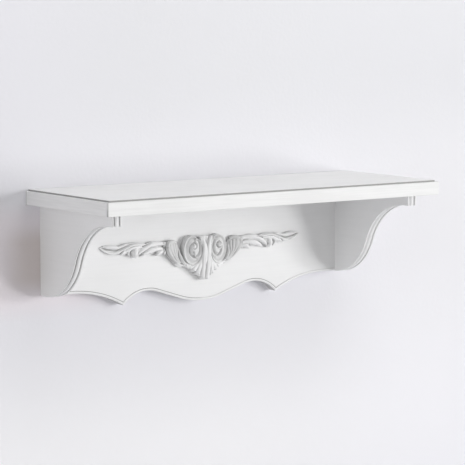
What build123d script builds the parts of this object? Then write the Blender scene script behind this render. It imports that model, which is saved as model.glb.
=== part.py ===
# Wall shelf: a board with a stepped top edge on two scrolled side brackets, tied together by a
# scalloped apron that carries an applied, carved ornament. It hangs from two keyhole plates.
# X runs along the wall, the wall is the plane Y = 0, the front faces -Y and Z is up. The origin
# is on the wall, midway between the two keyhole entries. Sizes are in millimetres.

import os
from math import atan, cos, degrees, pi, radians, sin, tan

from build123d import *

os.makedirs("parts", exist_ok=True)

# ---------------------------------------------------------------- driving dimensions
# shelf board
board_length = 800
board_depth = 300
board_thickness = 30
lip_height = 3.5  # the step that runs round the top edge
lip_setback = 6
board_corner_radius = 2
arris_radius = 0.8  # every exposed sharp edge is eased by this much

# side brackets
bracket_thickness = 22
bracket_height = 182
end_overhang = 31  # board past a bracket's outer face
front_overhang = 35  # board past the bracket's nose
nose_height = 23.5
nose_flat = 16  # level run under the nose, before the cove
cove_radius = 130
scroll_straight = 4  # short straight between the cove and the belly
foot_flat = 18  # level run at the wall

# bead and quirks along the brackets' front edge
bead_width = 10
quirk_width = 2.6
quirk_depth = 2.6

# apron
apron_thickness = 22
scallop_drop = 217.8  # lowest point, below the board's underside
arch_rise = 29.9  # heights above that lowest point
cusp_rise = 4.8
shoulder_rise = 36.8
arch_x = 132  # places out from the middle
cusp_x = 189.5
shoulder_flat = 37  # level run from the shoulder to the bracket
ogee_straight = 57
apron_bead = 4.5  # bead along the scalloped edge, front face
apron_bead_radius = 2.6
apron_quirk_width = 1.5
apron_quirk_depth = 1.5

# dowels
dowel_diameter = 8
dowel_length = 36
dowel_clearance = 0.1  # all round, for the glue
dowel_end_room = 0.5  # glue room at each end
dowel_chamfer = 1
bracket_dowel_back = 50  # first dowel from the wall
bracket_dowel_front = 40  # last dowel behind the nose
bracket_dowel_seat = 18  # depth of a dowel in the bracket's top edge
apron_dowel_inset = 112  # end dowels in from the apron's ends
apron_dowel_count = 4
apron_dowel_seat = 18
end_dowel_drops = (55, 140)  # below the board's underside
end_dowel_seat = 12  # depth in the bracket's inner face

# keyhole hangers
hang_drop = 40  # hanging line below the board's underside
hang_inset = 47  # keyholes in from the apron's ends
plate_length = 52
plate_width = 20
plate_thickness = 2
plate_rise = 4  # plate's centre above the keyhole entry
entry_radius = 4.5
slot_width = 4.5
slot_rise = 11
head_room = 7  # depth of the hollow behind the plate
head_room_margin = 1.5  # hollow wider than the keyhole
screw_pitch = 40
screw_head_diameter = 6.4
screw_shank_diameter = 3
screw_length = 15
screw_tip = 3
screw_head_angle = 90
screw_clearance = 0.05
screw_end_room = 0.5
fit_gap = 0.2  # plate in its pocket

# carved ornament, measured from the volutes' eyes
eye_drop = 104  # eyes below the board's underside
eye_x = 32
volute_half_width = 21
volute_half_height = 30
volute_sag = 6  # drum's centre below the eye
volute_height = 14  # relief above the apron's face
stem_height = 24
fan_start = 22  # where the stem begins to fall away to the fan
fan_foot = 71
fan_tip_height = 9
leaf_height = 12
spray_root_height = 11
spray_tip_height = 4
draft = 0.25  # how much the relief's sides lean in, per unit of height
leaf_x = 72  # the leaf draws in towards this place as it rises
leaf_z = -8
scroll_band = 5  # width of the rolled rim on a volute
scroll_turns = 1.6
spiral_points = 16  # along the whole spiral
rim_margin = 4
rim_height = 3
eye_radius = 4
spray_joint = 97  # where a spray meets the centrepiece
spray_gap = 0.3
spray_reach = 154  # spray's length
crest_radius = 2.4
pin_diameter = 1.6
pin_length = 12
pin_seat = 3  # depth of a pin in the ornament
pin_clearance = 0.05
pin_offsets = ((30, -10), (133, 8), (206, 3))  # places from the eyes' line, for one side
# outlines from the eyes' line, for the right-hand side; the left mirrors it
leaf_points = (
    (52, 13), (64, 16.5), (80, 15.5), (95, 14), (97, 3), (92, -10), (84, -22),
    (70, -34), (52, -41), (42, -36), (44, -20), (48, -4),
)
fan_points = ((11, 24), (8, 8), (8, -12), (16, -27), (40, -42), (24, -55), (12, -65), (0, -fan_foot))
spray_top = (
    (97, 14), (110, 16), (125, 17.5), (150, 15), (172, 17),
    (190, 13), (203, 9), (217, 13), (236, 15), (251, 11),
)
spray_foot = (
    (251, 11), (238, 5), (214, 0), (205, -6), (194, -6), (181, 0), (176, -12), (164, -17),
    (150, -11), (130, -9), (118, -15), (106, -12), (97, -9),
)
crest_points = ((104, 6), (125, 10), (150, 12), (172, 13), (190, 7), (206, 1), (225, 8), (243, 10))

# ---------------------------------------------------------------- places that follow
board_bottom = hang_drop
board_top = board_bottom + board_thickness
ledge_z = board_top - lip_height
bracket_outer = board_length / 2 - end_overhang
bracket_inner = bracket_outer - bracket_thickness
bracket_middle = (bracket_outer + bracket_inner) / 2
nose_y = front_overhang - board_depth
nose_bottom = board_bottom - nose_height
bracket_bottom = board_bottom - bracket_height
apron_bottom = board_bottom - scallop_drop
face_y = -apron_thickness
eye_z = board_bottom - eye_drop
shoulder_x = bracket_inner - shoulder_flat
hang_x = bracket_inner - hang_inset
dowel_radius = dowel_diameter / 2
dowel_hole_radius = dowel_radius + dowel_clearance
beyond = 10  # how far a cutter runs past what it cuts

# the scroll: cove, short straight and belly, level at both ends
scroll_run = -nose_y - nose_flat - foot_flat
scroll_fall = bracket_height - nose_height
scroll_half = scroll_fall / (scroll_run + scroll_straight)  # tangent of half its steepest slope
scroll_angle = 2 * degrees(atan(scroll_half))
scroll_radii = (
    scroll_run * (1 + scroll_half**2) - scroll_straight * (1 - scroll_half**2)
) / (2 * scroll_half)
belly_radius = scroll_radii - cove_radius

# the apron's ogee: belly, straight and arch, worked out the same way
arch_radius = ((cusp_x - arch_x) ** 2 + (arch_rise - cusp_rise) ** 2) / (2 * (arch_rise - cusp_rise))
ogee_half = arch_rise / (arch_x + ogee_straight)
ogee_angle = 2 * degrees(atan(ogee_half))
ogee_radii = (arch_x * (1 + ogee_half**2) - ogee_straight * (1 - ogee_half**2)) / (2 * ogee_half)
apron_belly_radius = ogee_radii - arch_radius

apron_front = Plane.XZ.offset(apron_thickness)
left_and_right = {"left": -1, "right": 1}


def save(piece, node):
    """Label a finished piece and write it under its node's name."""
    piece.part.label = node
    export_step(piece.part, f"parts/{node}.step")


# ---------------------------------------------------------------- shelf board
first_dowel_y = -bracket_dowel_back
last_dowel_y = nose_y + bracket_dowel_front
bracket_dowel_ys = (first_dowel_y, (first_dowel_y + last_dowel_y) / 2, last_dowel_y)
bracket_dowel_places = [
    (side * bracket_middle, y) for side in left_and_right.values() for y in bracket_dowel_ys
]
apron_dowel_end = bracket_inner - apron_dowel_inset
apron_dowel_pitch = 2 * apron_dowel_end / (apron_dowel_count - 1)
apron_dowel_places = [
    (step * apron_dowel_pitch - apron_dowel_end, face_y / 2) for step in range(apron_dowel_count)
]
board_dowel_depth = dowel_length - bracket_dowel_seat + dowel_end_room


def off_the_wall(edge):
    """True of an edge that doesn't lie on the wall plane."""
    return edge.center().Y < -arris_radius


with BuildPart() as shelf_board:
    with BuildSketch(Plane.XY.offset(board_bottom)):
        with Locations((0, -board_depth / 2)):
            Rectangle(board_length, board_depth)
    extrude(amount=board_thickness - lip_height)
    fillet(shelf_board.edges().filter_by(Axis.Z).group_by(Axis.Y)[0], board_corner_radius)
    slab_rims = shelf_board.faces().filter_by(Plane.XY).edges()
    fillet(slab_rims.filter_by(off_the_wall), arris_radius)
    with BuildSketch(Plane.XY.offset(ledge_z)):
        with Locations((0, (lip_setback - board_depth) / 2)):
            Rectangle(board_length - 2 * lip_setback, board_depth - lip_setback)
    extrude(amount=lip_height)
    lip_corners = shelf_board.edges(Select.LAST).filter_by(Axis.Z).group_by(Axis.Y)[0]
    fillet(lip_corners, board_corner_radius)
    lip_top = shelf_board.faces().sort_by(Axis.Z)[-1]
    fillet(lip_top.edges().filter_by(off_the_wall), arris_radius)
    with BuildSketch(Plane.XY.offset(board_bottom)):
        with Locations(*bracket_dowel_places, *apron_dowel_places):
            Circle(dowel_hole_radius)
    extrude(amount=board_dowel_depth, mode=Mode.SUBTRACT)
save(shelf_board, "shelf_board")

# ---------------------------------------------------------------- side brackets
end_dowel_places = [(face_y / 2, board_bottom - drop) for drop in end_dowel_drops]


def under_the_board(edge):
    """True of an edge that isn't up against the board."""
    return edge.center().Z < board_bottom - arris_radius


def scroll_edge(start_y, end_y):
    """The bracket's lower edge, from under the nose to the wall, in the open BuildLine."""
    level = Line((start_y, nose_bottom), (nose_y + nose_flat, nose_bottom))
    cove = JernArc(level @ 1, (1, 0), cove_radius, -scroll_angle)
    fall = Line(cove @ 1, (cove @ 1) + (cove % 1) * scroll_straight)
    belly = JernArc(fall @ 1, fall % 1, belly_radius, scroll_angle)
    Line(belly @ 1, (end_y, bracket_bottom))


def bead_and_quirks(plane):
    """What is cut from a plain edge to leave the bead: across the edge is x, into it is y."""
    foot = bead_width / 2
    with BuildSketch(plane) as cutter:
        with BuildLine():
            ThreePointArc((-foot, quirk_depth), (0, 0), (foot, quirk_depth))
            Polyline(
                (foot, quirk_depth),
                (foot + quirk_width, quirk_depth),
                (foot + quirk_width, -quirk_depth),
                (-foot - quirk_width, -quirk_depth),
                (-foot - quirk_width, quirk_depth),
                (-foot, quirk_depth),
            )
        make_face()
    return cutter.sketch


for name, side in left_and_right.items():
    middle = side * bracket_middle
    with BuildPart() as bracket:
        with BuildSketch(Plane.YZ.offset(middle)):
            with BuildLine():
                scroll_edge(nose_y, 0)
                Polyline(
                    (0, bracket_bottom),
                    (0, board_bottom),
                    (nose_y, board_bottom),
                    (nose_y, nose_bottom),
                )
            make_face()
        extrude(amount=bracket_thickness / 2, both=True)
        side_faces = bracket.faces().filter_by(Plane.YZ)
        fillet(side_faces.edges().filter_by(off_the_wall).filter_by(under_the_board), arris_radius)
        nose_plane = Plane((middle, nose_y, nose_bottom - beyond), (1, 0, 0), (0, 0, 1))
        extrude(bead_and_quirks(nose_plane), amount=nose_height + beyond, mode=Mode.SUBTRACT)
        with BuildLine(Plane.YZ.offset(middle)) as edge_path:
            scroll_edge(nose_y - beyond, beyond)
        under_plane = Plane((middle, nose_y - beyond, nose_bottom), (1, 0, 0), (0, -1, 0))
        sweep(bead_and_quirks(under_plane), path=edge_path.wires()[0], mode=Mode.SUBTRACT)
        with BuildSketch(Plane.XY.offset(board_bottom)):
            with Locations(*[(middle, y) for y in bracket_dowel_ys]):
                Circle(dowel_hole_radius)
        extrude(amount=-bracket_dowel_seat - dowel_end_room, mode=Mode.SUBTRACT)
        with BuildSketch(Plane.YZ.offset(side * bracket_inner)):
            with Locations(*end_dowel_places):
                Circle(dowel_hole_radius)
        extrude(amount=side * (end_dowel_seat + dowel_end_room), mode=Mode.SUBTRACT)
    save(bracket, f"{name}_bracket")


# ---------------------------------------------------------------- apron
def apron_outline(plane, end_x, top_z):
    """The apron's face, scalloped below, out to end_x and up to top_z."""
    cusp = (cusp_x, apron_bottom + cusp_rise)
    shoulder = (shoulder_x, apron_bottom + shoulder_rise)
    with BuildSketch(plane) as outline:
        with BuildLine():
            belly = JernArc((0, apron_bottom), (1, 0), apron_belly_radius, ogee_angle)
            rise = Line(belly @ 1, (belly @ 1) + (belly % 1) * ogee_straight)
            crown = JernArc(rise @ 1, rise % 1, arch_radius, -ogee_angle)
            TangentArc(crown @ 1, cusp, tangent=(1, 0))
            TangentArc(shoulder, cusp, tangent=(-1, 0))
            Polyline(shoulder, (end_x, shoulder[1]), (end_x, top_z), (0, top_z))
            mirror(about=Plane.YZ)
        make_face()
    return outline.sketch


plate_places = [(side * hang_x, plate_rise) for side in left_and_right.values()]
screw_drops = (-screw_pitch / 2, screw_pitch / 2)
screw_places = [(x, z + drop) for x, z in plate_places for drop in screw_drops]
head_room_y = head_room + plate_thickness
pin_places = [(side * x, eye_z + z) for side in left_and_right.values() for x, z in pin_offsets]


def keyhole(grow, mode=Mode.ADD):
    """A keyhole about the place of its entry: a round hole with a slot above it."""
    Circle(entry_radius + grow, mode=mode)
    with Locations((0, slot_rise / 2)):
        Rectangle(slot_width + 2 * grow, slot_rise, mode=mode)
    with Locations((0, slot_rise)):
        Circle(slot_width / 2 + grow, mode=mode)


with BuildPart() as apron:
    extrude(apron_outline(Plane.XZ, bracket_inner, board_bottom), amount=apron_thickness)
    front = apron.faces().filter_by(Axis.Y).sort_by(Axis.Y)[0]
    scallops = front.outer_wire().edges().filter_by_position(
        Axis.Z, apron_bottom, apron_bottom + shoulder_rise + arris_radius
    )
    fillet(scallops, apron_bead_radius)
    with BuildSketch(apron_front):
        add(apron_outline(apron_front, bracket_inner + beyond, board_bottom + beyond))
        offset(amount=-apron_bead, kind=Kind.INTERSECTION, mode=Mode.REPLACE)
        offset(amount=-apron_quirk_width, kind=Kind.INTERSECTION, mode=Mode.SUBTRACT)
    extrude(amount=-apron_quirk_depth, mode=Mode.SUBTRACT)
    # pockets for the keyhole plates, with room behind for the wall screws' heads
    with BuildSketch(Plane.XZ):
        with Locations(*plate_places):
            SlotOverall(plate_length + 2 * fit_gap, plate_width + 2 * fit_gap, rotation=90)
    extrude(amount=plate_thickness, mode=Mode.SUBTRACT)
    with BuildSketch(Plane.XZ):
        with Locations(*[(x, 0) for x, _ in plate_places]):
            keyhole(head_room_margin)
    extrude(amount=head_room_y, mode=Mode.SUBTRACT)
    with BuildSketch(Plane.XZ):
        with Locations(*screw_places):
            Circle(screw_shank_diameter / 2 + screw_clearance)
    extrude(amount=screw_length + screw_end_room, mode=Mode.SUBTRACT)
    # dowel and pin holes
    with BuildSketch(Plane.XY.offset(board_bottom)):
        with Locations(*apron_dowel_places):
            Circle(dowel_hole_radius)
    extrude(amount=-apron_dowel_seat - dowel_end_room, mode=Mode.SUBTRACT)
    for side in left_and_right.values():
        with BuildSketch(Plane.YZ.offset(side * bracket_inner)):
            with Locations(*end_dowel_places):
                Circle(dowel_hole_radius)
        extrude(amount=-side * (dowel_length - end_dowel_seat + dowel_end_room), mode=Mode.SUBTRACT)
    with BuildSketch(apron_front):
        with Locations(*pin_places):
            Circle(pin_diameter / 2 + pin_clearance)
    extrude(amount=-(pin_length - pin_seat) - pin_clearance, mode=Mode.SUBTRACT)
save(apron, "apron")

# ---------------------------------------------------------------- dowels
def dowels(node, plane, places, start):
    """A group of dowels, standing at the given places of a plane, from start along its normal."""
    with BuildPart() as group:
        with BuildSketch(plane.offset(start)):
            with Locations(*places):
                Circle(dowel_radius)
        extrude(amount=dowel_length)
        chamfer(group.edges().filter_by(GeomType.CIRCLE), dowel_chamfer)
    save(group, node)


for name, side in left_and_right.items():
    places = [(side * bracket_middle, y) for y in bracket_dowel_ys]
    dowels(f"{name}_bracket_dowels", Plane.XY.offset(board_bottom), places, -bracket_dowel_seat)
    end_plane = Plane((side * bracket_inner, 0, 0), (0, 1, 0), (-side, 0, 0))
    end_places = [(y, -side * z) for y, z in end_dowel_places]
    dowels(f"{name}_end_dowels", end_plane, end_places, -end_dowel_seat)
dowels("apron_dowels", Plane.XY.offset(board_bottom), apron_dowel_places, -apron_dowel_seat)

# ---------------------------------------------------------------- keyhole hangers
head_radius = screw_head_diameter / 2
shank_radius = screw_shank_diameter / 2
head_length = (head_radius - shank_radius) / tan(radians(screw_head_angle / 2))

for name, side in left_and_right.items():
    with BuildPart() as hanger_plate:
        with BuildSketch(Plane.XZ):
            with Locations((side * hang_x, plate_rise)):
                SlotOverall(plate_length, plate_width, rotation=90)
            with Locations((side * hang_x, 0)):
                keyhole(0, Mode.SUBTRACT)
        extrude(amount=plate_thickness)
        countersinks = [(x, z) for x, z in screw_places if x * side > 0]
        with Locations(*[Plane((x, 0, z), (1, 0, 0), (0, 1, 0)) for x, z in countersinks]):
            CounterSinkHole(
                shank_radius + screw_clearance,
                head_radius + screw_clearance,
                plate_thickness,
                screw_head_angle,
            )
    save(hanger_plate, f"{name}_hanger_plate")

with BuildPart() as hanger_screw:
    with BuildSketch(Plane.XY):
        with BuildLine():
            Polyline(
                (0, 0),
                (head_radius, 0),
                (shank_radius, -head_length),
                (shank_radius, screw_tip - screw_length),
                (0, -screw_length),
                (0, 0),
            )
        make_face()
    revolve(axis=Axis.Y)
with BuildPart() as hanger_screws:
    with Locations(*[(x, 0, z) for x, z in screw_places]):
        add(hanger_screw.part)
save(hanger_screws, "hanger_screws")

# ---------------------------------------------------------------- carved ornament
def at_eye(x, z):
    """A place on the ornament, from the line of the volutes' eyes."""
    return (x, eye_z + z)


def at_face(x, z, height):
    """A place on the ornament, height out from the apron's face."""
    return (x, face_y - height, eye_z + z)


def drawn_in(x, z, narrowing):
    """A place on the leaf's outline, drawn in towards the leaf's middle."""
    return at_eye(leaf_x + (x - leaf_x) * narrowing, leaf_z + (z - leaf_z) * narrowing)


def spiral(margin):
    """A volute's spiral, from its foot in to its eye, margin inside the drum's own outline."""
    last_radius = eye_radius + scroll_band
    points = []
    for step in range(spiral_points + 1):
        inward = step / spiral_points
        turn = 2 * pi * scroll_turns * inward - pi / 2
        across = volute_half_width + (last_radius - volute_half_width) * inward - margin
        upright = volute_half_height + (last_radius - volute_half_height) * inward - margin
        sag = volute_sag * (1 - inward)
        points.append(at_eye(eye_x + across * cos(turn), upright * sin(turn) - sag))
    return points


fan_slope = Plane(
    at_face(0, -fan_start, stem_height), z_dir=(0, fan_start - fan_foot, fan_tip_height - stem_height)
)
with BuildPart() as stem:
    with BuildSketch(apron_front):
        with BuildLine():
            fan_side = Spline(*[at_eye(x, z) for x, z in fan_points])
            Polyline(fan_side @ 1, at_eye(0, fan_points[0][1]), fan_side @ 0)
        make_face()
    extrude(amount=stem_height)
    split(bisect_by=fan_slope, keep=Keep.BOTTOM)

with BuildPart() as centrepiece:
    # the right half first: volute, leaf and half of the stem
    for height in (0, volute_height):
        with BuildSketch(apron_front.offset(height)):
            with Locations(at_eye(eye_x, -volute_sag)):
                Ellipse(volute_half_width - height * draft, volute_half_height - height * draft)
    loft()
    for height in (0, leaf_height):
        narrowing = 1 - height * draft / volute_half_height
        with BuildSketch(apron_front.offset(height)):
            with BuildLine():
                Spline(*[drawn_in(x, z, narrowing) for x, z in leaf_points], periodic=True)
            make_face()
    loft()
    add(stem.part)
    with BuildSketch(apron_front):
        with BuildLine():
            outside = Spline(*spiral(rim_margin))
            inside = Spline(*spiral(rim_margin + scroll_band))
            Line(outside @ 0, inside @ 0)
            Line(outside @ 1, inside @ 1)
        make_face()
        with Locations(at_eye(eye_x, 0)):
            Circle(eye_radius)
    extrude(amount=volute_height + rim_height)
    mirror(about=Plane.YZ)
    with BuildSketch(apron_front):
        with Locations(*[(x, z) for x, z in pin_places if abs(x) < spray_joint]):
            Circle(pin_diameter / 2 + pin_clearance)
    extrude(amount=pin_seat + pin_clearance, mode=Mode.SUBTRACT)
save(centrepiece, "centrepiece")


def spray_relief(x):
    """How far a spray stands out from the apron, x from the middle."""
    return spray_root_height + (spray_tip_height - spray_root_height) * (x - spray_joint) / spray_reach


for name, side in left_and_right.items():
    root_place = at_face(side * spray_joint, 0, spray_root_height)
    slope = Plane(root_place, z_dir=(side * (spray_root_height - spray_tip_height), -spray_reach, 0))
    with BuildPart() as spray:
        with BuildSketch(apron_front):
            with BuildLine():
                top = Spline(*[at_eye(side * (x + spray_gap), z) for x, z in spray_top])
                foot = Spline(*[at_eye(side * (x + spray_gap), z) for x, z in spray_foot])
                Line(foot @ 1, top @ 0)
            make_face()
        extrude(amount=spray_root_height)
        split(bisect_by=slope, keep=Keep.BOTTOM)
        with BuildLine() as crest:
            Spline(*[at_face(side * x, z, spray_relief(x)) for x, z in crest_points])
        with BuildSketch(Plane(crest.line @ 0, z_dir=crest.line % 0)):
            Circle(crest_radius)
        sweep(path=crest.line)
        with BuildSketch(apron_front):
            with Locations(*[(x, z) for x, z in pin_places if x * side > spray_joint]):
                Circle(pin_diameter / 2 + pin_clearance)
        extrude(amount=pin_seat + pin_clearance, mode=Mode.SUBTRACT)
    save(spray, f"{name}_spray")

with BuildPart() as ornament_pins:
    with BuildSketch(apron_front.offset(pin_seat)):
        with Locations(*pin_places):
            Circle(pin_diameter / 2)
    extrude(amount=-pin_length)
save(ornament_pins, "ornament_pins")
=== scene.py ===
import math

import bpy
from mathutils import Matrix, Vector


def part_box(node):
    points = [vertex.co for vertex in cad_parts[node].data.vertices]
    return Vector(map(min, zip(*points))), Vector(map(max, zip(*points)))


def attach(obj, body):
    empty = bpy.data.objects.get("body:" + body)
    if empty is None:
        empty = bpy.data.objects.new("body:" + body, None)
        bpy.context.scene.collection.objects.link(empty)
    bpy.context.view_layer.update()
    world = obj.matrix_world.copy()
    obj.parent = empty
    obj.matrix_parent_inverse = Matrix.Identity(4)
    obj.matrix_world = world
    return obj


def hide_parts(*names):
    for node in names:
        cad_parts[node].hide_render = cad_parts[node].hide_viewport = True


# A white wall shelf: stepped board, scrolled side brackets and a scalloped apron with an applied
# carving. Metres, +Z up, the wall is the plane Y = 0 and the room is towards -Y.

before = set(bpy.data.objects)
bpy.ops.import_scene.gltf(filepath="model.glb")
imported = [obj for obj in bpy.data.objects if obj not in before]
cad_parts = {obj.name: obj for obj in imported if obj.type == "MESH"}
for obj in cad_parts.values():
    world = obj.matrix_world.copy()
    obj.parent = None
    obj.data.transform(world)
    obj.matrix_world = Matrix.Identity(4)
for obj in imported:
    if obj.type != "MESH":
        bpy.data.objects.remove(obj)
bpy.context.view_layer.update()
millimetre = 0.001
print("frame loaded:", len(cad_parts), "nodes")


def mm(*lengths):
    # millimetres to metres
    return [length * millimetre for length in lengths]


class Amount:
    # a number that varies over the surface; sums and products of it add Math nodes
    def __init__(self, finish, socket):
        self.finish = finish
        self.socket = socket

    def __add__(self, other):
        return self.finish.maths("ADD", self, other)

    def __sub__(self, other):
        return self.finish.maths("SUBTRACT", self, other)

    def __rsub__(self, other):
        return self.finish.maths("SUBTRACT", other, self)

    def __mul__(self, other):
        return self.finish.maths("MULTIPLY", self, other)

    def __abs__(self):
        return self.finish.maths("ABSOLUTE", self)

    __radd__ = __add__
    __rmul__ = __mul__


class Finish:
    # one material, with its nodes and its Principled shader
    def __init__(self, name):
        self.material = bpy.data.materials.new(name)
        self.material.use_nodes = True
        self.tree = self.material.node_tree
        self.shader = self.tree.nodes["Principled BSDF"]
        self.place = self.node("ShaderNodeTexCoord").outputs["Object"]
        x, y, z = self.node("ShaderNodeSeparateXYZ", Vector=self.place).outputs
        self.x = Amount(self, x)
        self.y = Amount(self, y)
        self.z = Amount(self, z)

    def feed(self, socket, value):
        # links an amount or an output to a socket, or sets a plain value on it
        if isinstance(value, Amount):
            value = value.socket
        if isinstance(value, bpy.types.NodeSocket):
            self.tree.links.new(value, socket)
        else:
            socket.default_value = value

    def node(self, kind, settings=None, **sockets):
        made = self.tree.nodes.new(kind)
        for key, value in (settings or {}).items():
            setattr(made, key, value)
        for key, value in sockets.items():
            self.feed(made.inputs[key], value)
        return made

    def maths(self, operation, first, second=0.0):
        made = self.node("ShaderNodeMath", {"operation": operation})
        self.feed(made.inputs[0], first)
        self.feed(made.inputs[1], second)
        return Amount(self, made.outputs[0])

    def ease(self, value, low, high):
        # 0 below low, 1 above high, smooth between; low may be the larger
        made = self.node("ShaderNodeMapRange", {"interpolation_type": "SMOOTHSTEP"}, Value=value)
        self.feed(made.inputs["From Min"], low)
        self.feed(made.inputs["From Max"], high)
        return Amount(self, made.outputs["Result"])

    def between(self, value, low, high, soft):
        # 1 where value lies from low to high, fading out over soft on both sides
        return self.ease(value, low - soft, low) * self.ease(value, high + soft, high)

    def noise(self, scale, detail=3.0, stretch=(1.0, 1.0, 1.0)):
        mapping = self.node("ShaderNodeMapping", Vector=self.place, Scale=stretch)
        made = self.node("ShaderNodeTexNoise", Vector=mapping.outputs[0], Scale=scale, Detail=detail)
        return Amount(self, made.outputs[0])

    def facing(self, axis):
        # how squarely the surface faces along X, Y or Z, from -1 to 1
        geometry = self.node("ShaderNodeNewGeometry")
        parts = self.node("ShaderNodeSeparateXYZ", Vector=geometry.outputs["True Normal"])
        return Amount(self, parts.outputs[axis])

    def stored(self, name):
        # a value kept on the piece's own points
        return Amount(self, self.node("ShaderNodeAttribute", {"attribute_name": name}).outputs["Fac"])

    def mix(self, amount, first, second):
        # the first colour where amount is 0, the second where it is 1
        made = self.node("ShaderNodeMix", {"data_type": "RGBA"})
        self.feed(made.inputs["Factor"], amount)
        self.feed(made.inputs[6], first)
        self.feed(made.inputs[7], second)
        return made.outputs[2]

    def bump(self, height, distance, strength=1.0):
        made = self.node("ShaderNodeBump", Height=height, Distance=distance, Strength=strength)
        self.feed(self.shader.inputs["Normal"], made.outputs[0])


enamel = {
    "white": (0.86, 0.86, 0.86, 1.0),
    "shaded": (0.815, 0.815, 0.815, 1.0),  # in the brush marks
    "patinaAndShade": (0.33, 0.33, 0.325, 1.0),  # the grey of the patina rubbed into the hollows, also used for painted shade
    "roughness": 0.48,
    "markScale": 240.0,  # noise scales of the brush marks, clouds, specks and the glaze's patches
    "cloudScale": 9.0,
    "speckScale": 1400.0,
    "patchScale": 60.0,
    "shadedFrom": (0.4, 0.62),  # where in the noise the shaded white begins and is full
    "patchiness": 0.5,  # how unevenly the glaze was wiped
    "relief": 0.00006,
    "ends": (0.6, 0.9),  # how squarely a face has to look along X to be brushed as an end
}
lengthwise = (0.04, 1.0, 1.0)  # the brush follows X, Y or Z, or goes all ways
crosswise = (1.0, 0.04, 1.0)
upright = (1.0, 1.0, 0.04)
allWays = (1.0, 1.0, 1.0)


def paintEnamel(name, along, patinaAndShadeMask, brushed=0.3):
    # satin enamel brushed along one way, its ends crosswise; the mask says where the grey goes, as
    # patina in the hollows and as painted shade
    finish = Finish(name)
    onEnds = finish.ease(abs(finish.facing("X")), *enamel["ends"])
    streaks = finish.noise(enamel["markScale"], 2.0, along) * (1 - onEnds)
    streaks = streaks + finish.noise(enamel["markScale"], 2.0, crosswise) * onEnds
    clouds = finish.noise(enamel["cloudScale"], 2.0)
    specks = finish.noise(enamel["speckScale"], 1.0)
    shade = finish.ease(streaks * 0.55 + clouds * 0.45, *enamel["shadedFrom"])
    white = finish.mix(shade * brushed, enamel["white"], enamel["shaded"])
    patches = 1 - enamel["patchiness"] / 2 + enamel["patchiness"] * finish.noise(enamel["patchScale"])
    patinaAndShade = finish.maths("MINIMUM", patinaAndShadeMask(finish) * patches, 1.0)
    finish.feed(finish.shader.inputs["Base Color"], finish.mix(patinaAndShade, white, enamel["patinaAndShade"]))
    finish.feed(finish.shader.inputs["Roughness"], enamel["roughness"] + 0.1 * streaks + 0.15 * patinaAndShade)
    finish.bump(streaks * 0.7 + specks * 0.3, enamel["relief"])
    return finish.material


def dress(node, material):
    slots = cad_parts[node].data.materials
    slots.clear()
    slots.append(material)


# the grey patina and painted shade: a pair is where it starts and where it is full, three numbers are
# from, to and how softly it ends, and a single number is how much of it stayed
board = {
    "step": mm(3.5, 6),  # height and width of the step round the top edge
    "riser": mm(-0.1, 0.3),  # up from the step's ledge
    "fold": mm(-0.6, -0.2),
    "steep": (0.3, 0.8),  # a face that looks up more than this is flat
    "onLedge": 0.35,
    "corner": mm(7, 1),  # behind the front, on the ends
    "cornerHeight": mm(6, 6),  # it grows from below the ledge to above the underside by these
    "onCorner": (0.45, 0.8),  # the share near the top, and all of it lower down
    "rear": mm(-3, -0.5),  # from the wall, where a contact shadow is painted on the ends
    "rearContactShadow": 0.6,
    "ends": (0.5, 0.9),
}
boardLow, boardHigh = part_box("shelf_board")


def boardPatinaAndShade(finish):
    # grey patina in the step and on the ends down the front corner, and a painted contact shadow on the
    # ends along the wall
    stepHeight, stepWidth = board["step"]
    ledge = boardHigh.z - stepHeight
    steep = 1 - finish.ease(finish.facing("Z"), *board["steep"])
    aboveLedge = finish.z - ledge
    riser = finish.ease(aboveLedge, *board["riser"]) * steep
    onLedge = finish.ease(abs(finish.x), boardHigh.x, boardHigh.x - stepWidth)
    onLedge = finish.ease(aboveLedge, *board["fold"]) * onLedge * steep
    corner = finish.ease(finish.y - boardLow.y, *board["corner"])
    belowLedge, aboveUnderside = board["cornerHeight"]
    lowerDown = finish.ease(finish.z, ledge - belowLedge, boardLow.z + aboveUnderside)
    nearTop, full = board["onCorner"]
    corner = full * corner * (nearTop + (1 - nearTop) * lowerDown)
    rear = board["rearContactShadow"] * finish.ease(finish.y, *board["rear"])
    ends = finish.ease(abs(finish.facing("X")), *board["ends"])
    return riser + board["onLedge"] * onLedge + ends * (corner + rear)


bracket = {
    "quirks": mm(5.3, 7.1, 0.3),  # out from the middle of its thickness, to both sides
    "leftQuirkShade": mm(-7.8, -4.8, 0.3),  # and painted shade on the left bracket's outer quirk, along X
    "arris": mm(10.1, 10.8),
    # the left bracket's outer strip, which faces away from the light, gets painted shade
    "outer": mm(-5.2, -6.6),
    "front": (0.8, 0.98),  # a face that looks sideways more than this is a side
    "inQuirks": 0.8,
    "onArris": 0.3,
    "outerPaintedShade": 0.15,
    "right": mm(0, 50),  # from the shelf's middle
    # painted light: most of the grey comes off the right bracket, which the light reaches
    "paintedLightOnRight": 0.9,
}


def bracketPatinaAndShade(finish):
    # grey patina in the quirks and at the arris; painted shade on the left bracket's outer quirk and
    # strip, and painted light taking most of the grey off the right bracket
    low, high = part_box("right_bracket")
    middle = (low.x + high.x) / 2
    across = abs(abs(finish.x) - middle)
    fromLeft = finish.x + middle
    onFront = 1 - finish.ease(abs(finish.facing("X")), *bracket["front"])
    quirks = bracket["inQuirks"] * finish.between(across, *bracket["quirks"])
    quirks = quirks + finish.between(fromLeft, *bracket["leftQuirkShade"])
    arris = bracket["onArris"] * finish.ease(across, *bracket["arris"]) * onFront
    outer = bracket["outerPaintedShade"] * finish.ease(fromLeft, *bracket["outer"]) * onFront
    kept = 1 - bracket["paintedLightOnRight"] * finish.ease(finish.x, *bracket["right"])
    return (quirks + arris + outer) * kept


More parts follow.
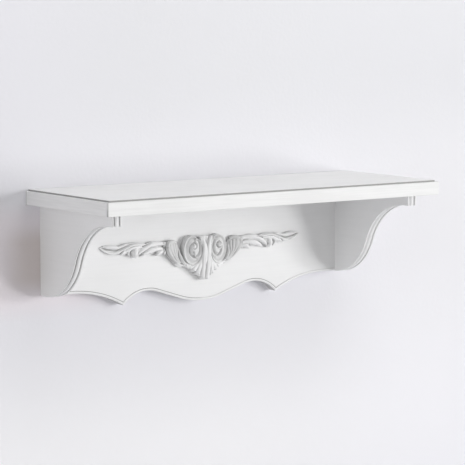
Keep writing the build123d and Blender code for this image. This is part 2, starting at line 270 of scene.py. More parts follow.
apron = {
    "falls": (mm(-160, -12, 22), mm(120, 189.5, 16)),  # where its edge falls, going right, and faces away from the light
    "leftFall": mm(-186, -191),
    "quirk": mm(0.3, 1.0),  # behind the front
    "quirkFloor": (-0.9, -0.98),  # a face that looks to the room more than this is the quirk's floor
    # a thin patina in the quirk everywhere, then painted shade in it where the edge falls, and under the
    # edge
    "thinQuirkPatina": 0.1,
    "paintedShadeInFalls": 0.7,
    "behindBead": mm(1.6, 3.0),
    "underEdge": (0.6, 0.9),  # a face that looks to the room more than this is the front
    "leftward": (0.02, -0.12),
    "paintedShadeUnderEdge": 0.75,
}
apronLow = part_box("apron")[0]


def apronPatinaAndShade(finish):
    # a thin grey patina in the quirk; painted shade in the quirk where the scallops fall to the right,
    # and on the edge's left-facing underside
    behindFront = finish.y - apronLow.y
    quirk = finish.ease(behindFront, *apron["quirk"])
    quirk = quirk * finish.ease(finish.facing("Y"), *apron["quirkFloor"])
    falls = finish.ease(finish.x, *apron["leftFall"])
    for fall in apron["falls"]:
        falls = falls + finish.between(finish.x, *fall)
    under = 1 - finish.ease(abs(finish.facing("Y")), *apron["underEdge"])
    under = under * finish.ease(behindFront, *apron["behindBead"])
    under = under * finish.ease(finish.facing("X"), *apron["leftward"])
    return quirk * (apron["thinQuirkPatina"] + apron["paintedShadeInFalls"] * falls) + apron["paintedShadeUnderEdge"] * under


carvingGrey = {
    "hollow": (-0.2, 0.8),  # below the shape around it, in millimetres
    "inHollows": (0.42, 0.8),  # in the middle, and further out
    "further": mm(50, 80),
    "foot": mm(-12, 0),  # in front of the apron, where painted shade darkens the steep walls over the patina
    "slant": (-0.7, -0.2),
    "footShadeAndPatina": 0.3,
    "scrolls": mm(14, 94, 8),  # out from the middle
    "onScrolls": 0.2,
    "curl": mm(66, 92, 6),
    "onCurl": 0.16,
    "aboveTip": mm(32, 44),  # above the fan's tip
    "patchScale": 90.0,
}
centreLow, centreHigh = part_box("centrepiece")


def carvingPatinaAndShade(finish):
    # patina grey in the hollows and thinly over the scrolls and leaves, and painted shade with patina on
    # the steep walls along the foot
    out = abs(finish.x)
    least, most = carvingGrey["inHollows"]
    kept = least + (most - least) * finish.ease(out, *carvingGrey["further"])
    hollow = kept * finish.ease(finish.stored("hollow"), *carvingGrey["hollow"])
    foot = finish.ease(finish.y - apronLow.y, *carvingGrey["foot"])
    foot = carvingGrey["footShadeAndPatina"] * foot * finish.ease(finish.facing("Y"), *carvingGrey["slant"])
    veil = carvingGrey["onScrolls"] * finish.between(out, *carvingGrey["scrolls"])
    veil = veil * (0.7 + 0.6 * finish.noise(carvingGrey["patchScale"]))
    veil = veil + carvingGrey["onCurl"] * finish.between(out, *carvingGrey["curl"])
    veil = veil * finish.ease(finish.z - centreLow.z, *carvingGrey["aboveTip"])
    return hollow + foot + veil


dress("shelf_board", paintEnamel("boardEnamel", lengthwise, boardPatinaAndShade, 1.0))
for side in ("left", "right"):
    dress(f"{side}_bracket", paintEnamel(f"{side}BracketEnamel", upright, bracketPatinaAndShade))
dress("apron", paintEnamel("apronEnamel", lengthwise, apronPatinaAndShade))
carvingEnamel = paintEnamel("carvingEnamel", allWays, carvingPatinaAndShade)
print("enamel on the boards")

# the hidden hardware: beech dowels, and zinc plates, screws and pins
beechLook = {
    "pale": (0.62, 0.46, 0.29, 1.0),
    "ray": (0.44, 0.29, 0.16, 1.0),
    "roughness": 0.6,
    "grainScale": 2600.0,
    "fleckScale": 5200.0,
    "flecksFrom": (0.58, 0.7),
    "relief": 0.00005,
}
alongX = (0.08, 1.0, 1.0)  # the grain's way
alongZ = (1.0, 1.0, 0.08)
zincLook = {
    "bright": (0.66, 0.67, 0.68, 1.0),
    "dull": (0.47, 0.48, 0.50, 1.0),
    "roughness": 0.26,
    "cloudScale": 160.0,
    "rollScale": 3000.0,
    "rollStretch": (1.0, 1.0, 0.05),
    "relief": 0.00002,
}


def beech(name, along):
    # close grain along the dowel with darker flecks
    finish = Finish(name)
    grain = finish.noise(beechLook["grainScale"], 4.0, along)
    flecks = finish.ease(finish.noise(beechLook["fleckScale"], 1.0, along), *beechLook["flecksFrom"])
    wood = finish.mix(0.45 * grain + 0.4 * flecks, beechLook["pale"], beechLook["ray"])
    finish.feed(finish.shader.inputs["Base Color"], wood)
    finish.feed(finish.shader.inputs["Roughness"], beechLook["roughness"] + 0.15 * grain)
    finish.bump(grain, beechLook["relief"])
    return finish.material


def zinc(name):
    # bright plating with a faint cloudiness and fine rolling marks
    finish = Finish(name)
    clouds = finish.noise(zincLook["cloudScale"])
    rolled = finish.noise(zincLook["rollScale"], 2.0, zincLook["rollStretch"])
    plating = finish.mix(0.5 * clouds + 0.2 * rolled, zincLook["bright"], zincLook["dull"])
    finish.feed(finish.shader.inputs["Base Color"], plating)
    finish.shader.inputs["Metallic"].default_value = 1.0
    finish.feed(finish.shader.inputs["Roughness"], zincLook["roughness"] + 0.16 * clouds)
    finish.bump(rolled, zincLook["relief"])
    return finish.material


for node, along in (("left_bracket_dowels", alongZ), ("right_bracket_dowels", alongZ),
                    ("apron_dowels", alongZ), ("left_end_dowels", alongX), ("right_end_dowels", alongX)):
    dress(node, beech(node + "Beech", along))
hardware = zinc("zincPlate")
for node in ("left_hanger_plate", "right_hanger_plate", "hanger_screws", "ornament_pins"):
    dress(node, hardware)
print("beech and zinc on the hidden hardware")

# the carving: swept strokes and swellings, welded into one skin and cut off at the apron's face
carving = {
    "flat": (3, 0.3),  # a section's sharpness and the height of its crown, in half widths
    "round": (2.2, 0.85),
    "ridged": (1.5, 0.6),
    "skirt": 2,  # how far a stroke reaches below its crown, in half widths
    "spread": 1.04,  # how much the skirt spreads
    "bends": 8,  # steps between two points of a stroke
    "grain": 0.0007,  # size of the weld's cells
    "softness": 5,  # smoothing passes on the welded skin, and again on the grooves
    "reach": 60,  # smoothing passes that find the hollows
    "smoothUnder": 60,  # degrees
    "eyeLine": centreHigh.z - 0.024,
    "face": apronLow.y,
    "joint": 0.0975,  # where a spray meets the centrepiece
    "jointGap": 0.0003,
    "sprayEnd": 0.3,  # past the spray's tip
    "trimDepth": 0.1,  # past the carving, to the room
    "trimHeight": 1,  # and up and down
    "thinnest": 1.8,  # what a groove always leaves above the apron, in millimetres
    "grooveSpread": 1.5,  # how far a groove fades out, in its half widths
    "stripe": 4,  # grooves are looked up in upright stripes this many millimetres wide
}

# strokes, in millimetres: out from the middle, up from the volutes' eyes, height above the apron
# and half width at each of their points
stemStrokes = [
    [(15, 21.6, 17, 2.6), (12.4, 17, 20, 3.6), (8.8, 9, 22.5, 4.4), (6, 1, 24, 4.8), (5.2, -10, 24, 5),
     (5.2, -28, 22.5, 5), (5.2, -42, 20.5, 5), (5, -54, 18.5, 5), (4.6, -63, 17, 4.6),
     (4.6, -66.5, 15, 4)],
    [(10.5, -8, 19, 2.4), (11, -20, 20, 4), (12.6, -32, 19.5, 4.8), (15, -43, 18.5, 5),
     (16.8, -51, 17, 4.6), (17.4, -55.5, 15, 3.8)],
    [(14, -24, 17, 3), (18.6, -33, 17.5, 4.6), (23.6, -41.5, 17, 4.8), (27, -48.5, 16, 4)],
    [(22, -34, 15.5, 3), (29, -38.6, 16, 4), (35.6, -42.6, 15, 3.6)],
    [(32, -37.6, 13.5, 2.4), (38, -39, 14, 3), (44.4, -39.8, 13, 2.8)],
]
leafStrokes = [
    # the sharp fold beside the volute, then the strands of a ramp that rises outwards
    [(64, 7, 4.5, 1.2), (63, 0, 7, 1.6), (61.8, -7, 11, 2), (61, -14, 14, 2.4), (59, -20, 15.5, 2.6),
     (54.5, -28, 15.5, 2.4), (47.5, -33.8, 14, 2), (37, -37.2, 11.5, 1.6)],
    [(67, 9, 6.5, 2.6), (66.6, 1, 8.5, 3.2), (66, -8, 10.5, 3.4), (64.6, -17, 11.5, 3.2),
     (60.5, -25, 11.5, 2.8), (54, -31.5, 10.5, 2)],
    [(74, 11.5, 8.5, 3), (73, 3, 11, 3.6), (71.6, -6, 12.5, 3.8), (69, -15.5, 13, 3.6),
     (64.5, -24, 12.5, 3.2), (57.5, -31.5, 10.5, 2.2)],
    [(81, 12.5, 11.5, 3.2), (80, 3.5, 14, 3.8), (78, -5.5, 14.6, 3.8), (74.4, -14.5, 14.2, 3.6),
     (68.6, -23.4, 13, 3.2), (61, -31.4, 10.8, 2.2)],
    # the strands below its outer edge, which run out into the wave
    [(106, 0, 8, 4), (98, -1.6, 8.5, 4), (92, -5.6, 9, 3.6), (86.5, -12, 9, 3.2), (81, -18.6, 8.5, 2.8),
     (74, -26, 7, 2)],
    [(95, -4, 6, 2.6), (90, -9.6, 6.5, 2.8), (84, -16.4, 6.5, 3), (77, -24, 6.5, 3),
     (68.6, -30.6, 6.5, 3), (58.6, -36, 6, 2.8), (47, -39, 5, 1.6)],
]
# the leaf's outer edge, curled over
curledEdges = [
    [(72, 12.6, 7.5, 2), (79, 13.4, 10, 2.8), (85.4, 11.8, 13.5, 3.4), (89.6, 6.6, 16, 3.6),
     (90.2, -0.4, 16.4, 3.6), (87.4, -7.6, 16, 3.6), (82.4, -14.8, 15, 3.4), (76, -22, 13.5, 3.2),
     (69, -28.4, 11.8, 2.8), (60, -34.6, 9.6, 2.2), (50, -38.4, 7.5, 1.6)],
]
sprayStrokes = [
    # the long wave from the shoulder out, in broad bands
    [(97, 9.3, 9, 4.4), (109, 10, 10.3, 5), (121, 10.6, 12.2, 5.2), (132, 9, 13, 5), (141, 5.2, 13, 5),
     (149, 0.6, 12.3, 4.4), (156, -4.6, 11.1, 3.4), (161, -10, 7.8, 1.6)],
    [(97, -0.8, 8, 4.4), (108, 0.6, 9.6, 4.8), (119, 0.6, 11.4, 4.8), (129, -1.2, 11.7, 4.6),
     (138, -4.8, 11.1, 4), (146.5, -8.8, 9.1, 3), (154, -12.4, 5.9, 1.2)],
    [(116, 14, 7.4, 1.4), (126, 13.6, 9.8, 2.6), (136, 11, 10.4, 2.6), (146, 7.2, 9.8, 2)],
    [(134, -7, 7.8, 1.4), (141, -8.5, 9.1, 2.4), (148, -11, 6.5, 1.2)],
    # the ribbon that rises, turns over and runs out as the last leaf's lower edge
    [(136, 8.6, 6.5, 1.4), (146, 11.6, 10.4, 2.6), (158, 13, 12.3, 3.2), (170, 13, 13, 3.4),
     (182, 11.2, 13, 3.6), (192, 7.2, 12.3, 3.6), (201, 2.4, 11.1, 3.4), (210, -1.2, 9.8, 3),
     (220, -2, 8.1, 2.8), (230, 0.6, 6.8, 2.4), (239, 5, 5.6, 1.8), (248, 10.2, 3.1, 0.7)],
    [(178, 14.6, 6.5, 1.6), (188, 13.4, 8.5, 2.6), (197, 10.6, 8.5, 2.8), (206, 8.6, 8.5, 3.2),
     (216, 10.4, 8.7, 3.8), (227, 12, 8.1, 3.4), (238, 11.8, 6.2, 2.4), (248, 10.4, 3.1, 0.7)],
    [(150, 7, 9.1, 2.6), (163, 7.8, 12.3, 3.8), (174, 6.6, 13, 4), (183, 3.4, 11.7, 3.6),
     (191, 0, 10.4, 3)],
]
lobeStrokes = [
    # the lobe that hangs and rolls under, with its rim, and the small ones like it
    [(155, 8, 8.6, 3.6), (162.6, 6, 12, 5.4), (166.8, 0, 14.5, 6.6), (167.4, -6, 14.5, 6.4),
     (165, -10.6, 12, 5.4), (161.4, -13.6, 9, 3.2)],
    [(175, 7.4, 9.5, 2.2), (180.6, 3, 10.8, 2.4), (182.6, -2, 10.4, 2.3), (180.6, -7, 8.6, 1.9),
     (176.4, -11.6, 6.4, 1.4)],
    [(98, -4, 9, 4), (104, -6, 11, 4.8), (109.6, -8.4, 12, 4.8), (114, -11.4, 10.5, 3.4),
     (117.4, -13.6, 7, 1.6)],
    [(119, -1.6, 9, 4), (125.4, -3.4, 10.4, 4.2), (130.6, -6, 9.4, 3), (135, -8.2, 6.4, 1.5)],
    [(185, 3, 9, 3.4), (191.6, 0.6, 10.4, 4.2), (198, -2.4, 10.4, 4), (203, -5.4, 8.4, 2.6)],
]
# pads fill in below the strokes, low and wide
centrePads = [
    [(0, 21, 15, 12), (0, 13, 17, 10), (0, 5, 19.5, 9), (0, -6, 23, 8), (0, -28, 21.6, 9.4),
     (0, -45, 19.2, 10), (0, -57, 17, 9), (0, -65, 15, 7.6)],
    [(13, -18, 17, 5), (16, -29, 18, 6), (19, -38, 17.2, 8), (21, -46, 15, 7)],
    [(24, -36, 16, 6), (29, -40, 14.6, 6), (36, -40, 13, 4.6), (43, -39, 11, 3.4)],
    [(62, 4, 4, 4), (64, -8, 7, 5), (61, -20, 8.5, 5), (54, -30, 8, 4)],
    [(70, 6, 7, 6), (70, -6, 9.5, 6), (66, -18, 10, 6), (58, -29, 8.5, 5)],
    [(80, 6, 10.5, 7), (80, -5, 12.5, 7), (74, -17, 12, 7), (65, -27, 9.5, 6)],
    [(87, 5, 12.5, 5), (86, -6, 12.5, 5), (80, -15, 11, 5), (72, -24, 9.5, 4.6)],
    [(90, 4, 9.4, 9), (97, 4.6, 10.6, 9.4), (108, 5, 10.6, 9)],
    [(84, -8, 7, 5), (91, -6.4, 9, 6), (97, -6, 11, 6), (108, -7.4, 11, 5.4)],
    [(66, 8.6, 7.4, 3.6), (71, 10.6, 9.4, 4.4), (78, 11.4, 12, 4.6), (85, 9.6, 14.6, 4.4)],
    [(69.4, 7, 9.2, 4.4), (69, -8, 11.8, 4.6), (66, -18, 12, 4.4), (60, -27, 11, 3.6)],
    [(76.6, 9, 11.8, 4.8), (75, -6, 13.8, 4.8), (71.4, -17, 13.4, 4.4), (65, -26, 12, 3.8)],
    [(84, 9, 14, 4.8), (84, -4, 15.6, 5), (79.6, -13, 14.6, 4.6), (74, -21, 13, 4.2),
     (67, -28, 11.4, 3.6)],
    [(10, -32, 15, 5), (14, -42, 15.8, 6), (14, -54, 15.4, 5), (12, -62, 14, 3)],
    [(22, -36, 14.8, 6), (27, -41.5, 15, 5)],
    [(36, -35.6, 12.6, 5), (44, -37.4, 12, 3.6)],
    [(52, -37, 6.4, 4), (61, -35, 7.4, 5), (68, -30, 8.4, 5)],
    [(14.4, 0, 12, 3.4), (14.6, -10, 12, 3.4)],
    [(12.6, 4, 14.6, 2.6), (12.2, -10, 14.6, 2.6)],
    [(12, -4, 13, 5), (14, -16, 13, 5)],
    [(56.6, -19, 8.5, 3.4), (50.6, -28.6, 9.5, 4), (43, -35, 10, 4)],
]
sprayPads = [
    [(88, 2, 7, 10), (100, 3, 7.4, 10), (112, 4, 8.6, 10), (128, 4, 9, 9), (142, 3, 8.6, 9),
     (152, 2, 8, 8)],
    [(150, 2, 8, 9), (160, 3, 9.6, 9), (168, 3, 10, 9), (178, 4, 9, 7), (186, 6, 8.4, 7),
     (194, 4, 7.6, 6)],
    [(190, 8, 7, 5), (202, 4, 6, 6), (213, 4, 5.6, 6), (226, 6, 5.4, 6), (238, 8.6, 4.2, 3.4),
     (245, 10, 2.4, 1.5)],
    [(95, -7, 6.6, 4), (108, -9, 7, 4.4)],
    [(122, -4, 6.6, 4), (129, -6, 6.6, 4)],
    [(162, -2, 8.6, 6), (168, -8, 9.4, 5), (162, -12, 6.6, 4)],
    [(186, 0, 7, 4), (194, -3, 7.6, 4)],
]
# out, up, height, half width, half length and the share that is a flat top
swellings = [
    # two drums, a dome and an eye carry each volute
    (32.2, -6.8, 16.5, 22, 31.4, 0.92), (21.5, -4, 20.5, 11.4, 25, 0.8), (31.5, 0, 23.5, 13.5, 15.5, 0),
    (32.8, 2.8, 25, 4.4, 4.8, 0),
    # beads end the fan's ribs
    (4.8, -66.2, 17.4, 4.8, 4.6, 0), (17.4, -55.4, 18, 4.4, 4.4, 0), (27, -48.6, 17, 4.4, 4.4, 0),
    (36, -42.6, 15.4, 4, 3.8, 0), (45, -39.6, 12, 3.4, 3, 0), (48, -36.6, 11, 5, 4, 0),
]
# grooves: out, up, how deep and half width
grooves = [
    # the volute's wide hollow, round and round into the eye
    [(18, -20, 0, 2.4), (22.6, -27.6, 1, 3.2), (31, -31.2, 2.6, 4.4), (40.6, -27.4, 3.2, 5.6),
     (46.2, -17.2, 3.2, 5.6), (47.6, -5, 3.2, 5), (45.8, 7.6, 3.4, 4.6), (39, 16.2, 3.8, 4),
     (28.8, 17, 4.2, 3.6), (20.6, 12.4, 4.4, 3.2), (16.8, 3, 4.4, 3), (16.8, -8, 4.4, 3.2),
     (21.4, -17, 4.4, 3.4), (29.6, -20, 4.6, 3.2), (37, -15, 4.6, 2.8), (39.6, -6.4, 4.4, 2.2),
     (38, 2.4, 4.4, 1.8), (32.8, 8, 4.6, 1.5), (27, 6.4, 5, 1.4), (25.2, 1, 5, 1.4), (28, -3.6, 5, 1.3),
     (32.6, -4, 4, 1.1), (36, -1.6, 2, 0.9)],
    # down the stem, and between the ribs
    [(12.6, 19, 0, 1.2), (11, 8, 2, 1.2), (10.8, -6, 3, 1.3), (12.4, -18, 3, 1.3), (17, -28, 3, 1.3),
     (24.6, -35.4, 2.5, 1.3), (34, -38.4, 2, 1.2)],
    [(0, 21, 0, 2), (0, 12, 2, 2), (0, 5, 1.5, 1.4), (0, -8, 0.6, 1), (0, -28, 0.8, 1),
     (0, -36, 3, 1.4), (0, -48, 5, 1.8), (0, -60, 4, 1.8), (0, -71, 2, 1.6)],
    [(5.4, 0, 0, 0.8), (5.2, -16, 0.8, 0.8), (5.8, -34, 0.9, 0.8), (5, -52, 0, 0.8)],
    [(10.4, -36, 0.5, 1), (11.4, -46, 1.2, 1.1), (11.8, -56, 2, 1.4), (12.4, -62, 2, 1.6)],
    [(16.4, -35, 0.4, 0.9), (19.6, -43, 1.2, 1), (22.6, -52, 2.4, 1.3)],
    [(24, -37.4, 0.4, 0.9), (28.6, -41.6, 1.2, 1), (32.6, -47, 2.2, 1.2)],
    # the leaf's creases
    [(112, 5.6, 1, 1.4), (103, 4.6, 2.2, 1.4), (97, 2.4, 3, 1.5), (93.6, -3, 2.4, 1.4),
     (90.4, -10, 2.4, 1.3), (84.4, -17.4, 2.4, 1.3), (77, -25, 2, 1.2), (68, -31.6, 1, 1.1)],
    [(84.6, 4, 0, 1), (84, -3, 0.7, 1.2), (80.4, -11, 0.8, 1.2), (75, -19, 0.8, 1.2),
     (69, -26, 0.6, 1)],
    [(77.4, 5, 0, 0.9), (76.6, -3, 0.6, 1), (73.6, -13, 0.7, 1), (68.6, -21, 0.6, 1)],
    [(70.4, 3, 0, 0.9), (69.8, -5, 0.6, 1), (67.6, -14, 0.7, 1), (63.6, -22.4, 0.6, 1)],
    [(64.6, -6, 1, 1.1), (64, -14, 2.4, 1.3), (61.4, -22.4, 3, 1.3), (55, -30.6, 2.4, 1.2),
     (46, -36, 1, 1.1)],
    # the long wave's and its small leaves'
    [(128, 16, 1, 1.2), (134, 13.4, 2.6, 1.5), (141, 10.4, 2.8, 1.5), (149, 7.6, 1.8, 1.3)],
    [(92, 1.6, 2.4, 1.4), (99, 5.2, 2.2, 1.4), (108, 7, 1.6, 1.3), (118, 8, 0, 1)],
    [(120, 6, 0, 2), (132, 4.6, 1.6, 2.6), (141, 0, 1.8, 2.6), (150, -6, 1.6, 2)],
    [(97, -10.4, 1.5, 1.4), (105, -12.2, 2.6, 1.5), (112, -14, 3.4, 1.6), (116.4, -14.6, 3.4, 1.4)],
    [(113, -2, 0, 1.4), (117.6, -5.6, 2.4, 1.9), (121.6, -10, 2, 1.6)],
    [(121, -5.4, 1.4, 1.3), (127, -7.8, 2.8, 1.4), (133.6, -8.8, 2.8, 1.3)],
    # the ribbon's upper edge and the lobe's
    [(145, 12, 1, 1.2), (152, 14.4, 2.8, 1.6), (162, 15.4, 4, 2), (172, 15.2, 4.6, 2.2),
     (181, 13.2, 5, 2.4), (190, 10, 5, 2.4), (199, 6.4, 4.6, 2.3), (207, 4.2, 2.8, 1.8),
     (216, 4, 1.6, 1.6), (226, 5.4, 2.8, 2), (234, 7.2, 3.2, 2.1), (240.6, 9.8, 2.6, 2),
     (245.6, 11.4, 1.6, 1.4)],
    [(156, 10, 0, 1), (166, 10.4, 0.9, 1.1), (175, 9.4, 0.9, 1.1), (186, 5.4, 0, 1)],
    [(173.4, 4.4, 1, 1.2), (177, -1, 4, 1.8), (177.8, -6, 4.6, 1.8), (175.4, -11, 4, 1.5),
     (171.6, -14, 2, 1.3)],
    [(148, -3, 1.5, 1.8), (151, -8, 5, 2.8), (156, -12, 4, 2.4), (160, -15, 2, 1.6)],
    [(194, 3.6, 1.2, 1.2), (199.6, -0.8, 3, 1.5), (203.8, -6, 3.4, 1.6)],
    # the last leaf's
    [(212, 13.6, 0, 1), (222, 14.8, 1.6, 1.2), (232, 14.2, 2, 1.2), (239, 12.8, 1, 1)],
    [(206, -3.6, 0, 0.9), (216, -1.4, 0.9, 1), (227, 1.2, 0.9, 1), (237, 4.6, 0, 0.9)],
]


def crossSection(sharpness, crown):
    # a crown on a skirt that spreads a little: sharpness 1 gives a ridge, 2 a round and 3 a flat top
    section = bpy.data.curves.new("crossSection", "CURVE")
    section.dimensions = "2D"
    line = section.splines.new("POLY")
    steps = [math.cos(math.radians(angle)) for angle in range(0, 181, 15)]
    corners = [(step, -crown * abs(step) ** sharpness) for step in steps]
    hem = -crown - carving["skirt"]
    corners += [(-carving["spread"], hem), (carving["spread"], hem)]
    line.points.add(len(corners) - 1)
    for point, (across, up) in zip(line.points, corners):
        point.co = (across, up, 0, 1)
    line.use_cyclic_u = True
    section = bpy.data.objects.new("crossSection", section)
    bpy.context.collection.objects.link(section)
    return section


def stroke(points, side, section):
    # sweeps the section along the points, lying down with its height upwards
    curve = bpy.data.curves.new("stroke", "CURVE")
    curve.dimensions = "3D"
    curve.twist_mode = "Z_UP"
    curve.bevel_mode = "OBJECT"
    curve.bevel_object = section
    curve.use_fill_caps = True
    curve.resolution_u = carving["bends"]
    line = curve.splines.new("BEZIER")
    line.bezier_points.add(len(points) - 1)
    for point, (out, up, height, width) in zip(line.bezier_points, points):
        point.co = mm(side * out, up, height)
        point.handle_left_type = point.handle_right_type = "AUTO"
        point.radius = width * millimetre
    drawn = bpy.data.objects.new("stroke", curve)
    bpy.context.collection.objects.link(drawn)
    return drawn


def swelling(out, up, height, halfWidth, halfLength, flatTop):
    # a low drum, or a dome where it has no flat top
    place = mm(out, up, 0)
    if flatTop:
        bpy.ops.mesh.primitive_cone_add(vertices=64, radius1=millimetre, radius2=flatTop * millimetre,
                                        depth=2 * millimetre, location=place)
    else:
        bpy.ops.mesh.primitive_uv_sphere_add(segments=48, ring_count=24, radius=millimetre,
                                             location=place)
    bpy.context.object.scale = (halfWidth, halfLength, height)
    return bpy.context.object


def weld(name, flatStrokes, roundStrokes, ridgedStrokes, sides, domes=()):
    # joins the strokes, fuses them into one skin and stands it on the apron's face
    bpy.ops.object.select_all(action="DESELECT")
    sections = [crossSection(*carving[kind]) for kind in ("flat", "round", "ridged")]
    parts = [swelling(side * dome[0], *dome[1:]) for side in sides for dome in domes]
    for section, strokes in zip(sections, (flatStrokes, roundStrokes, ridgedStrokes)):
        parts += [stroke(points, side, section) for side in sides for points in strokes]
    for part in parts:
        part.select_set(True)
    bpy.context.view_layer.objects.active = parts[-1]
    bpy.ops.object.convert(target="MESH")
    bpy.ops.object.transform_apply()
    bpy.ops.object.join()
    piece = bpy.context.object
    piece.name = name
    for section in sections:
        bpy.data.objects.remove(section)
    piece.rotation_euler.x = math.radians(90)
    piece.location = (0, carving["face"], carving["eyeLine"])
    bpy.ops.object.transform_apply()
    fuse = piece.modifiers.new("fuse", "REMESH")
    fuse.mode = "VOXEL"
    fuse.voxel_size = carving["grain"]
    smooth = piece.modifiers.new("smooth", "SMOOTH")
    smooth.iterations = carving["softness"]
    for modifier in (fuse, smooth):
        bpy.ops.object.modifier_apply(modifier=modifier.name)
    return piece


def rounded(line):
    # adds points between a groove's own, on a smooth curve through them
    ends = [line[0]] + line + [line[-1]]
    points = []
    for four in zip(ends, ends[1:], ends[2:], ends[3:]):
        for part in (0, 0.25, 0.5, 0.75):
            point = []
            for a, b, c, d in zip(*four):
                slope = 2 * a - 5 * b + 4 * c - d + part * (3 * (b - c) + d - a)
                point.append(b + 0.5 * part * (c - a + part * slope))
            points.append(point)
    return points + [line[-1]]


def gouge(piece, lines, sides):
    # presses grooves into the front, rounded at the bottom and fading out at both sides
    cuts = []
    for side in sides:
        for line in lines:
            smoothLine = rounded(line)
            for first, second in zip(smoothLine, smoothLine[1:]):
                start = Vector((side * first[0], first[1]))
                end = Vector((side * second[0], second[1]))
                cuts.append((start, end - start, first[2:], second[2:]))
    stripes = {}
    for cut in cuts:
        own = int(cut[0].x // carving["stripe"])
        for stripe in range(own - 2, own + 3):
            stripes.setdefault(stripe, []).append(cut)
    for vertex in piece.data.vertices:
        height = (carving["face"] - vertex.co.y) / millimetre
        if height < carving["thinnest"]:
            continue
        spot = Vector((vertex.co.x, vertex.co.z - carving["eyeLine"])) / millimetre
        press = 0
        for start, way, first, second in stripes.get(int(spot.x // carving["stripe"]), ()):
            part = min(max((spot - start).dot(way) / way.length_squared, 0), 1)
            depth = first[0] + (second[0] - first[0]) * part
            width = (first[1] + (second[1] - first[1]) * part) * carving["grooveSpread"]
            gap = (spot - start - way * part).length
            if gap < width:
                press = max(press, depth * (math.cos(math.pi * gap / width) + 1) / 2)
        vertex.co.y += min(press, height - carving["thinnest"]) * millimetre
    smooth = piece.modifiers.new("smooth", "SMOOTH")
    smooth.iterations = carving["softness"]
    bpy.ops.object.modifier_apply(modifier=smooth.name)


def trim(piece, left, right):
    # keeps what stands in front of the apron from left to right, closed where it is cut
    low = Vector((left, carving["face"] - carving["trimDepth"], -carving["trimHeight"]))
    high = Vector((right, carving["face"], carving["trimHeight"]))
    bpy.ops.mesh.primitive_cube_add(size=1, location=(low + high) / 2)
    box = bpy.context.object
    box.scale = high - low
    cut = piece.modifiers.new("trim", "BOOLEAN")
    cut.operation = "INTERSECT"
    cut.solver = "MANIFOLD"
    cut.object = box
    bpy.context.view_layer.objects.active = piece
    bpy.ops.object.modifier_apply(modifier=cut.name)
    bpy.data.objects.remove(box)


def markHollows(piece):
    # stores how far each point lies below the smoothed shape around it
    bpy.ops.object.select_all(action="DESELECT")
    piece.select_set(True)
    bpy.ops.object.duplicate()
    eased = bpy.context.object
    smooth = eased.modifiers.new("ease", "SMOOTH")
    smooth.iterations = carving["reach"]
    bpy.ops.object.modifier_apply(modifier=smooth.name)
    hollow = piece.data.attributes.new("hollow", "FLOAT", "POINT")
    for value, vertex, mean in zip(hollow.data, piece.data.vertices, eased.data.vertices):
        value.value = (mean.co - vertex.co).dot(vertex.normal) / millimetre
    bpy.data.objects.remove(eased)
    piece.select_set(True)
    bpy.context.view_layer.objects.active = piece


def mount(piece, node):
    # paints the finished piece and puts it in the place of its plain node
    bpy.ops.object.shade_smooth_by_angle(angle=math.radians(carving["smoothUnder"]))
    piece.data.materials.clear()
    piece.data.materials.append(carvingEnamel)
    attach(piece, "root")
    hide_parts(node)


joint = carving["joint"]
both = (1, -1)
centrepiece = weld("carvedCentrepiece", stemStrokes + centrePads, curledEdges, leafStrokes, both,
                   swellings)
gouge(centrepiece, grooves, both)
trim(centrepiece, -joint, joint)
markHollows(centrepiece)
mount(centrepiece, "centrepiece")
for name, side in (("left", -1), ("right", 1)):
    spray = weld(f"{name}CarvedSpray", sprayPads, lobeStrokes, sprayStrokes, (side,))
    gouge(spray, grooves, (side,))
    trim(spray, *sorted((side * (joint + carving["jointGap"]), side * carving["sprayEnd"])))
    markHollows(spray)
    mount(spray, f"{name}_spray")
print("carving welded")

# the stage: a pale wall and a pale floor, both seen only from the room's side
stageLook = {
    "size": 8,
    "gap": 0.0006,  # between the shelf's back and the wall
    "roughness": 0.9,
    "shine": 0.1,
    "stippleScale": 120.0,
    "stippleDepth": 0.0006,
    "touching": 0.002,  # light passes where it has come less far than this
    # the wall's colours, and where each begins and is full: painted light makes it lighter to the right
    # and further down, and painted shade darker high up
    "wall": (0.80, 0.795, 0.837, 1.0),
    "wallRight": (0.85, 0.845, 0.875, 1.0),
    "rightward": (0, 0.8),
    "wallLow": (0.98, 0.975, 1.0, 1.0),  # further down
    "wallCorner": (0.91, 0.905, 0.945, 1.0),  # down on the right
    "downward": (-0.1, -0.5),
    "wallHigh": (0.77, 0.77, 0.80, 1.0),
    "upward": (0, 0.3),
    "highFrom": (-0.5, -0.1),
    # a painted shadow's tint beside the shelf, and a darker painted contact shadow close to it: from, to
    # and how softly each ends, along X and up
    "wallShadowTint": (0.82, 0.775, 0.81, 1.0),
    "tintAlong": (-0.62, -0.30, 0.15),
    "tintUp": (-0.14, 0.0, 0.06),
    "wallContactShadow": (0.69, 0.63, 0.62, 1.0),
    "closeAlong": (-0.39, -0.30, 0.09),
    "closeUp": (-0.10, -0.04, 0.05),
    "floor": (0.80, 0.80, 0.82, 1.0),
    "floorDrop": -1.0,
}


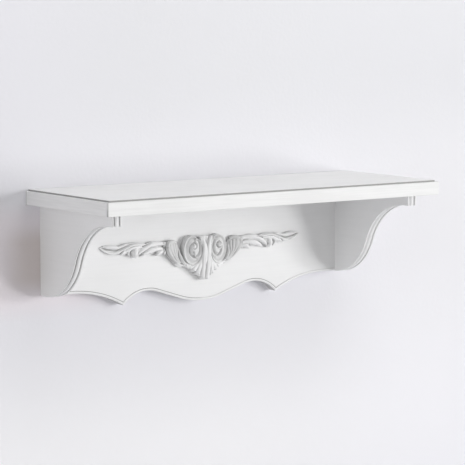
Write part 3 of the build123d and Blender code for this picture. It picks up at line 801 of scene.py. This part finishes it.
def oneSided(name, colour):
    # matt paint with a faint roller stipple; clear from behind and for what touches it, so that
    # the shelf's back can be seen and lit
    finish = Finish(name)
    finish.feed(finish.shader.inputs["Base Color"], colour(finish))
    finish.shader.inputs["Roughness"].default_value = stageLook["roughness"]
    finish.shader.inputs["Specular IOR Level"].default_value = stageLook["shine"]
    finish.bump(finish.noise(stageLook["stippleScale"], 2.0), stageLook["stippleDepth"], 0.5)
    clear = finish.node("ShaderNodeBsdfTransparent")
    side = finish.node("ShaderNodeNewGeometry")
    ray = finish.node("ShaderNodeLightPath")
    touching = finish.maths("LESS_THAN", ray.outputs["Ray Length"], stageLook["touching"])
    mix = finish.node("ShaderNodeMixShader")
    finish.feed(mix.inputs[0], finish.maths("MAXIMUM", side.outputs["Backfacing"], touching))
    finish.feed(mix.inputs[1], finish.shader.outputs[0])
    finish.feed(mix.inputs[2], clear.outputs[0])
    finish.feed(finish.tree.nodes["Material Output"].inputs["Surface"], mix.outputs[0])
    return finish.material


def wallColour(finish):
    # painted light and shade on the wall: lighter to the right and low down, darker high up, and painted
    # shadow beside the shelf
    rightward = finish.ease(finish.x, *stageLook["rightward"])
    level = finish.mix(rightward, stageLook["wall"], stageLook["wallRight"])
    low = finish.mix(rightward, stageLook["wallLow"], stageLook["wallCorner"])
    colour = finish.mix(finish.ease(finish.z, *stageLook["downward"]), level, low)
    high = finish.ease(finish.z, *stageLook["upward"]) * finish.ease(finish.x, *stageLook["highFrom"])
    colour = finish.mix(high, colour, stageLook["wallHigh"])
    for name, along, up in (("wallShadowTint", "tintAlong", "tintUp"), ("wallContactShadow", "closeAlong", "closeUp")):
        patch = finish.between(finish.x, *stageLook[along]) * finish.between(finish.z, *stageLook[up])
        colour = finish.mix(patch, colour, stageLook[name])
    return colour


def floorColour(finish):
    return stageLook["floor"]


bpy.ops.object.select_all(action="DESELECT")
wallPlace = (0, stageLook["gap"], 0)
floorPlace = (0, -stageLook["size"] / 2, stageLook["floorDrop"])
for name, place, turn, colour in (("wallBackdrop", wallPlace, 90, wallColour),
                                  ("roomFloor", floorPlace, 0, floorColour)):
    bpy.ops.mesh.primitive_plane_add(size=stageLook["size"], location=place,
                                     rotation=(math.radians(turn), 0, 0))
    plane = bpy.context.object
    plane.name = name
    bpy.ops.object.transform_apply()
    plane.data.materials.append(oneSided(name + "Paint", colour))

lighting = {
    "ambient": 0.27,
    "ambientColour": (1.0, 1.0, 0.955, 1.0),
    "room": (0.72, 0.72, 0.74, 1.0),  # what an eye or a mirror sees past the wall
    "lamps": {  # place, size and power
        "keyLow": ((6.6, -8.0, -0.8), 2.4, 378),
        "keyHigh": ((7.4, -6.4, 1.3), 2.0, 279),
        "fill": ((-3.2, -1.7, 0.4), 1.5, 17),
        "top": ((0.3, -1.0, 2.2), 1.6, 19.5),
        "rear": ((1.6, 3.6, 1.2), 2.0, 70),  # reaches only the shelf's back
    },
}

world = bpy.data.worlds.new("studioAir")
bpy.context.scene.world = world
world.use_nodes = True
nodes, links = world.node_tree.nodes, world.node_tree.links
glow = nodes["Background"]
glow.inputs["Color"].default_value = lighting["ambientColour"]
glow.inputs["Strength"].default_value = lighting["ambient"]
paleRoom = nodes.new("ShaderNodeBackground")
paleRoom.inputs["Color"].default_value = lighting["room"]
seen = nodes.new("ShaderNodeLightPath")
either = nodes.new("ShaderNodeMath")
either.operation = "MAXIMUM"
links.new(seen.outputs["Is Camera Ray"], either.inputs[0])
links.new(seen.outputs["Is Glossy Ray"], either.inputs[1])
mixed = nodes.new("ShaderNodeMixShader")
links.new(either.outputs[0], mixed.inputs[0])
links.new(glow.outputs[0], mixed.inputs[1])
links.new(paleRoom.outputs[0], mixed.inputs[2])
links.new(mixed.outputs[0], nodes["World Output"].inputs["Surface"])

for name, (place, size, power) in lighting["lamps"].items():
    bpy.ops.object.light_add(type="AREA", location=place)
    lamp = bpy.context.object
    lamp.name = name
    lamp.data.size = size
    lamp.data.energy = power
    lamp.rotation_euler = (-Vector(place)).to_track_quat("-Z", "Y").to_euler()

view = {
    "place": (-2.5877, -3.7817, 0.4588),
    "turn": 35.34,  # degrees to the right of straight at the wall, and down
    "tilt": 6.21,
    "lens": 173.3,
    "sensor": 36,
}
bpy.ops.object.camera_add(location=view["place"])
camera = bpy.context.object
camera.rotation_euler = (math.radians(90 - view["tilt"]), 0, -math.radians(view["turn"]))
camera.data.lens = view["lens"]
camera.data.sensor_width = view["sensor"]
bpy.context.scene.camera = camera
bpy.context.scene.view_settings.view_transform = "Standard"
print("stage, lights and camera in place")
